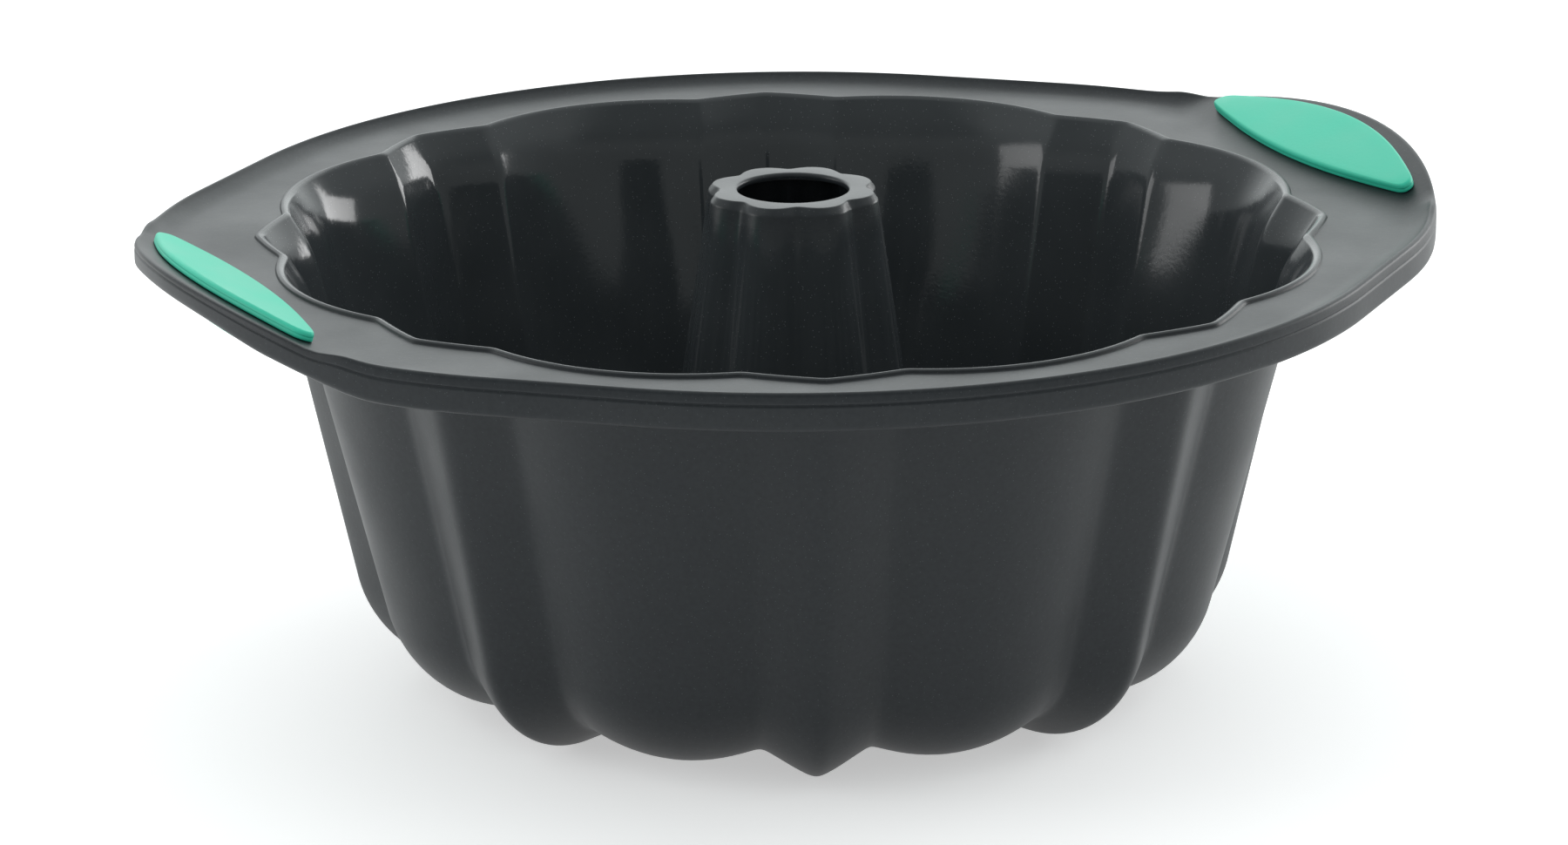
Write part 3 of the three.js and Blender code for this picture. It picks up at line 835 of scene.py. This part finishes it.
pad_radius = end_radius - PAD_MARGIN
pad_outer = along_slope(end_centre + pad_radius)
pad_tip = along_slope(end_centre + np.sqrt(pad_radius**2 - PAD_HALF_LENGTH**2)) - PAD_TIP_INSET
top_shape = {
    "inner": PAD_INSET,
    "outer": pad_outer,
    "tip": pad_tip,
    "half_length": PAD_HALF_LENGTH - PAD_TIP_TRIM,
    "fullness": PAD_FULLNESS,
    "roundness": PAD_ROUNDNESS,
}
under_shape = {
    "inner": PAD_INSET + UNDER_INSET,
    "outer": pad_outer - UNDER_MARGIN,
    "tip": 0.5 * (PAD_INSET + pad_outer),
    "half_length": UNDER_HALF_LENGTH,
    "fullness": UNDER_FULLNESS,
    "roundness": 0.0,
}


def pad_outline(shape, inset):
    """Two bows that meet in round tips: (tip + reach f(|sin t|), length cos t), drawn in by an inset.

    f(s) = s^k + c s (1 - s)^3. The second term is felt near the tips alone and rounds them.
    """
    turn = np.linspace(0, 2 * np.pi, PAD_STEPS, endpoint=False)
    inner_reach = shape["inner"] - shape["tip"] + inset
    outer_reach = shape["outer"] - shape["tip"] - inset
    reach = np.where(np.sin(turn) > 0, inner_reach, outer_reach)
    swing = np.abs(np.sin(turn))
    tip = shape["roundness"] * swing * (1 - swing) ** PAD_ROUND_POWER
    bow = swing ** shape["fullness"] + tip
    x = shape["tip"] + reach * bow
    return np.stack([x, (shape["half_length"] - inset) * np.cos(turn)], axis=1)


def pad_layers(shape):
    """Outlines and heights from the middle of the underside, round the edge, to the middle of the top."""
    turn = np.linspace(0, 0.5 * np.pi, PAD_ROUND_STEPS + 1)
    bottom = [(PAD_BOTTOM_ROUND * (1 - np.sin(a)), PAD_BOTTOM_ROUND * (1 - np.cos(a))) for a in turn]
    line = PAD_LINE_SHARE * PAD_THICKNESS
    side = [(0.0, line - PAD_LINE), (PAD_LINE, line), (0.0, line + PAD_LINE)]
    top = [(PAD_TOP_ROUND * (1 - np.cos(a)), PAD_THICKNESS - PAD_TOP_ROUND * (1 - np.sin(a))) for a in turn]
    shares = np.linspace(1, 0, PAD_FACE_STEPS + 1)[1:-1]
    middle = np.array([shape["tip"], 0.0])
    base = pad_outline(shape, PAD_BOTTOM_ROUND) - middle
    layers = [(middle + base * share, 0.0) for share in shares[::-1]]
    layers += [(pad_outline(shape, inset), z) for inset, z in bottom + side + top]
    face = pad_outline(shape, PAD_TOP_ROUND) - middle
    for share in shares:
        crown = PAD_CROWN * (1 - share**2)
        layers.append((middle + face * share, PAD_THICKNESS + crown))
    return layers


def pad_mesh_arrays(shape):
    """Vertices of the stack in the handle's own frame, and its faces as triangles with a fan at each end."""
    layers = pad_layers(shape)
    rings = np.array([np.column_stack([outline, np.full(PAD_STEPS, z)]) for outline, z in layers])
    ends = np.array([[shape["tip"], 0.0, 0.0], [shape["tip"], 0.0, PAD_THICKNESS + PAD_CROWN]])
    vertices = np.concatenate([rings.reshape(-1, 3), ends])
    step = np.arange(PAD_STEPS)
    following = (step + 1) % PAD_STEPS
    low = (np.arange(len(layers) - 1) * PAD_STEPS)[:, None]
    a, b = low + step, low + following
    c, d = b + PAD_STEPS, a + PAD_STEPS
    near_half = np.stack([a, b, c], -1).reshape(-1, 3)
    far_half = np.stack([a, c, d], -1).reshape(-1, 3)
    bottom, top = len(vertices) - 2, len(vertices) - 1
    last = (len(layers) - 1) * PAD_STEPS
    floor_fan = np.stack([np.full(PAD_STEPS, bottom), following, step], -1)
    top_fan = np.stack([np.full(PAD_STEPS, top), last + step, last + following], -1)
    return vertices, np.concatenate([near_half, far_half, floor_fan, top_fan])


print(f"upper pad {2 * top_shape['half_length']:.0f} mm long and {pad_outer - PAD_INSET:.1f} mm wide")

# %% Mint silicone
MINT_DEEP = (0.032, 0.60, 0.395, 1)
MINT_PALE = (0.044, 0.68, 0.460, 1)
MINT_ROUGH = (0.42, 0.52)
MINT_CLOUD_SCALE = 55.0
MINT_CLOUD_DETAIL = 3.0
MINT_GRAIN_SCALE = 1100.0
MINT_STRENGTH = 0.15
MINT_DEPTH = 0.15


def mint_silicone():
    """Mint silicone with faint clouds in its colour, a matte skin and a very fine moulded grain."""
    material, tree, shader = new_material("mint_silicone_skin")
    place = add_node(tree, "ShaderNodeTexCoord").outputs["Object"]
    clouds = noise(tree, place, MINT_CLOUD_SCALE, MINT_CLOUD_DETAIL)
    tree.links.new(mixed(tree, clouds, MINT_DEEP, MINT_PALE), shader.inputs["Base Color"])
    tree.links.new(ranged(tree, clouds, *MINT_ROUGH), shader.inputs["Roughness"])
    set_inputs(shader, IOR=SILICONE_IOR)
    grain = noise(tree, place, MINT_GRAIN_SCALE, GRAIN_DETAIL)
    moulded_skin(tree, shader, grain, MINT_STRENGTH, MINT_DEPTH)
    return material


mint = mint_silicone()
print("mint silicone ready")

# %% Place the four pads
handle_thickness = handle_depth * np.cos(HANDLE_SLOPE)


def on_handle(points, side):
    """Points in a handle's own frame carried to the pan: bowed down at the corners and tilted by the slope.

    The left handle is the right one turned half round.
    """
    along, across, out = points.T
    out = out - np.sin(HANDLE_SLOPE) * BEND_BOW * (across / BOW_HALF_LENGTH) ** 2
    x = bend_x + along * np.cos(HANDLE_SLOPE) - out * np.sin(HANDLE_SLOPE)
    z = FLANGE_HEIGHT + along * np.sin(HANDLE_SLOPE) + out * np.cos(HANDLE_SLOPE)
    return np.stack([side * x, side * across, z], axis=1)


def grip_pad(name, node, side, under):
    """One lens on a handle's upper face, or one blunt pad turned over on its underside."""
    vertices, triangles = pad_mesh_arrays(under_shape if under else top_shape)
    vertices[:, 2] += PAD_GAP
    if under:
        vertices[:, 1:] *= -1
        vertices[:, 2] -= handle_thickness
    piece = new_piece(name, on_handle(vertices, side), triangles)
    piece.data.materials.append(mint)
    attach(piece, "root")
    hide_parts(node)
    return piece


for hand, side in (("right", 1), ("left", -1)):
    grip_pad(f"{hand}_pad_top", f"{hand}_grip_pad", side, under=False)
    grip_pad(f"{hand}_pad_below", f"{hand}_grip_under_pad", side, under=True)
print("four grip pads placed")

# %% [markdown]
# ## The wire in the rim
#
# The steel hoop lies inside the bead and never shows. Its solid is already right, so it keeps its shape
# and only gets a finish of drawn steel, in case someone cuts the rim open.

# %% Drawn steel
STEEL_COLOUR = (0.56, 0.57, 0.58, 1)
STEEL_ROUGH = (0.25, 0.4)
STREAK_SCALE = 900.0
STREAK_DETAIL = 3.0


def drawn_steel():
    """Bright steel wire with fine dull streaks from the drawing die."""
    material, tree, shader = new_material("drawn_steel_wire")
    place = add_node(tree, "ShaderNodeTexCoord").outputs["Object"]
    streaks = noise(tree, place, STREAK_SCALE, STREAK_DETAIL)
    tree.links.new(ranged(tree, streaks, *STEEL_ROUGH), shader.inputs["Roughness"])
    set_inputs(shader, Base_Color=STEEL_COLOUR, Metallic=1.0)
    return material


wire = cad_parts["rim_wire"]
wire.data.materials.clear()
wire.data.materials.append(drawn_steel())
print("wire finished in drawn steel")

# %% [markdown]
# ## Camera
#
# The camera stands a little to the left of the pan and looks down on it at a low angle through a long
# lens. Its direction, distance and lens were found by matching the eight ribs of the mouth, so they are
# plain numbers.

# %% Place the camera
VIEW_ELEVATION = np.radians(17.311)
VIEW_AZIMUTH = np.radians(-25.626)
VIEW_ROLL = np.radians(-0.272)
VIEW_DISTANCE = 1348.768
VIEW_HEIGHT = 99.0
VIEW_SHIFT_RIGHT = 1.968
VIEW_SHIFT_UP = 42.64
FOCAL_PIXELS = 7235.219
IMAGE_WIDTH = 1800
SENSOR_WIDTH = 36.0


def camera_axes():
    """The camera's right, up and backward directions from its azimuth, elevation and roll."""
    level = np.cos(VIEW_ELEVATION)
    back = np.array([np.sin(VIEW_AZIMUTH) * level, -np.cos(VIEW_AZIMUTH) * level, np.sin(VIEW_ELEVATION)])
    flat_right = np.array([np.cos(VIEW_AZIMUTH), np.sin(VIEW_AZIMUTH), 0.0])
    flat_up = np.cross(back, flat_right)
    right = flat_right * np.cos(VIEW_ROLL) + flat_up * np.sin(VIEW_ROLL)
    up = flat_up * np.cos(VIEW_ROLL) - flat_right * np.sin(VIEW_ROLL)
    return right, up, back


right, up, back = camera_axes()
aim = np.array([0.0, 0.0, VIEW_HEIGHT]) - right * VIEW_SHIFT_RIGHT - up * VIEW_SHIFT_UP
place = aim + back * VIEW_DISTANCE
lens = bpy.data.cameras.new("camera")
lens.sensor_fit = "HORIZONTAL"
lens.sensor_width = SENSOR_WIDTH
lens.lens = FOCAL_PIXELS * SENSOR_WIDTH / IMAGE_WIDTH
camera = bpy.data.objects.new("camera", lens)
bpy.context.scene.collection.objects.link(camera)
turned = Matrix(np.column_stack([right, up, back]).tolist()).to_4x4()
camera.matrix_world = Matrix.Translation(Vector((place * METRES_PER_MM).tolist())) @ turned
bpy.context.scene.camera = camera
away = np.linalg.norm(place) * METRES_PER_MM
print(f"camera with a {lens.lens:.1f} mm lens, {away:.2f} m from the origin")

# %% [markdown]
# ## Floor and studio light
#
# Product light for dark, shiny silicone is mostly shape: a broad bright sky over the table, dimmer walls
# round it, a glowing backdrop behind the pan, and a softbox on either side that shows as bright patches
# in the cavity. The floor is white card. It gets a little light of its own towards the camera and
# mirrors, which lifts it to white and leaves the pan's soft shadow on it.

# %% The floor, with its sizes in metres
FLOOR_HALF = 20.0
FLOOR_DROP = 0.0002
CARD_COLOUR = (0.88, 0.88, 0.88, 1)
CARD_LIFT = 0.47


def white_card():
    """White card: diffuse, plus a little glow for camera, glossy and transmission rays only."""
    material, tree, shader = new_material("white_card")
    set_inputs(shader, Base_Color=CARD_COLOUR, Roughness=1.0, Specular_IOR_Level=0.0)
    rays = add_node(tree, "ShaderNodeLightPath").outputs
    seen = math_node(tree, "MAXIMUM", rays["Is Camera Ray"], rays["Is Glossy Ray"])
    seen = math_node(tree, "MAXIMUM", seen, rays["Is Transmission Ray"])
    tree.links.new(math_node(tree, "MULTIPLY", seen, CARD_LIFT), shader.inputs["Emission Strength"])
    set_inputs(shader, Emission_Color=(1, 1, 1, 1))
    return material


card_corners = np.array([[-1, -1], [1, -1], [1, 1], [-1, 1]]) * FLOOR_HALF
card_points = np.column_stack([card_corners, np.full(len(card_corners), -FLOOR_DROP)]) / METRES_PER_MM
floor = new_piece("floor", card_points, np.array([[0, 1, 2, 3]]))
floor.data.materials.append(white_card())
print("floor laid")

# %% The sky
SKY_BRIGHT = 0.9
SKY_DIM = 0.54
SKY_FROM = np.sin(np.radians(16.0))
SKY_TO = np.sin(np.radians(38.0))
SKY_COLOUR = (0.95, 1.0, 1.0, 1)
FRONT_SHADE = 0.55
FRONT_FULL = -0.55
FRONT_END = -0.25
FRONT_LOW = np.sin(np.radians(20.0))
FRONT_HIGH = np.sin(np.radians(34.0))
BACKDROP_GLOW = 1.75
BACKDROP_FROM = 0.5
BACKDROP_TO = 0.9
BACKDROP_START = np.sin(np.radians(2.0))
BACKDROP_FULL = np.sin(np.radians(10.0))
BACKDROP_FADE = np.sin(np.radians(26.0))
BACKDROP_END = np.sin(np.radians(46.0))


def fade(tree, value, low, high, before, after):
    """A value carried smoothly from one level to another between two limits."""
    node = add_node(tree, "ShaderNodeMapRange", interpolation_type="SMOOTHSTEP")
    set_inputs(node, From_Min=low, From_Max=high, To_Min=before, To_Max=after)
    tree.links.new(value, node.inputs["Value"])
    return node.outputs["Result"]


def studio_sky():
    """A world that is dim near the horizon and bright above, with a glowing backdrop behind the pan.

    The sky follows the height of the direction looked in. The backdrop follows its share along the camera's
    view, and hangs between two heights. High on the camera's own side the sky is shaded.
    """
    world = bpy.data.worlds.new("studio_sky")
    world.use_nodes = True
    tree = world.node_tree
    tree.nodes.clear()
    direction = add_node(tree, "ShaderNodeTexCoord").outputs["Generated"]
    split = add_node(tree, "ShaderNodeSeparateXYZ")
    tree.links.new(direction, split.inputs["Vector"])
    height = split.outputs["Z"]
    dot = add_node(tree, "ShaderNodeVectorMath", operation="DOT_PRODUCT")
    tree.links.new(direction, dot.inputs[0])
    dot.inputs[1].default_value = (-np.sin(VIEW_AZIMUTH), np.cos(VIEW_AZIMUTH), 0.0)
    along = dot.outputs["Value"]
    shade = fade(tree, along, FRONT_FULL, FRONT_END, FRONT_SHADE, 0.0)
    shade = math_node(tree, "MULTIPLY", shade, fade(tree, height, FRONT_LOW, FRONT_HIGH, 0.0, 1.0))
    sky = fade(tree, height, SKY_FROM, SKY_TO, SKY_DIM, SKY_BRIGHT)
    sky = math_node(tree, "MULTIPLY", sky, math_node(tree, "SUBTRACT", 1.0, shade))
    backdrop = fade(tree, along, BACKDROP_FROM, BACKDROP_TO, 0.0, BACKDROP_GLOW)
    rising = fade(tree, height, BACKDROP_START, BACKDROP_FULL, 0.0, 1.0)
    falling = fade(tree, height, BACKDROP_FADE, BACKDROP_END, 1.0, 0.0)
    backdrop = math_node(tree, "MULTIPLY", backdrop, rising)
    backdrop = math_node(tree, "MULTIPLY", backdrop, falling)
    background = add_node(tree, "ShaderNodeBackground")
    set_inputs(background, Color=SKY_COLOUR)
    level = math_node(tree, "ADD", sky, backdrop)
    tree.links.new(level, background.inputs["Strength"])
    output = add_node(tree, "ShaderNodeOutputWorld")
    tree.links.new(background.outputs["Background"], output.inputs["Surface"])
    return world


bpy.context.scene.world = studio_sky()
bpy.context.scene.view_settings.view_transform = "Standard"
print("sky hung")

# %% The softboxes


def softbox(name, azimuth, elevation, distance, width, height, radiance):
    """A soft panel that faces the pan. Its power is radiance times pi times its area."""
    light = bpy.data.lights.new(name, "AREA")
    light.shape = "RECTANGLE"
    light.size = width
    light.size_y = height
    light.energy = radiance * np.pi * width * height
    panel = bpy.data.objects.new(name, light)
    bpy.context.scene.collection.objects.link(panel)
    turn, rise = np.radians(azimuth), np.radians(elevation)
    way = Vector((np.cos(turn) * np.cos(rise), np.sin(turn) * np.cos(rise), np.sin(rise)))
    aim = Vector((0, 0, FLANGE_HEIGHT * METRES_PER_MM))
    panel.location = aim + way * distance
    panel.rotation_euler = way.to_track_quat("Z", "Y").to_euler()
    panel.visible_camera = False
    return panel


softbox("left_softbox", azimuth=155, elevation=11, distance=1.3, width=0.7, height=0.48, radiance=2.8)
softbox("right_softbox", azimuth=8, elevation=9, distance=1.3, width=0.6, height=0.4, radiance=6.0)
print("softboxes placed")
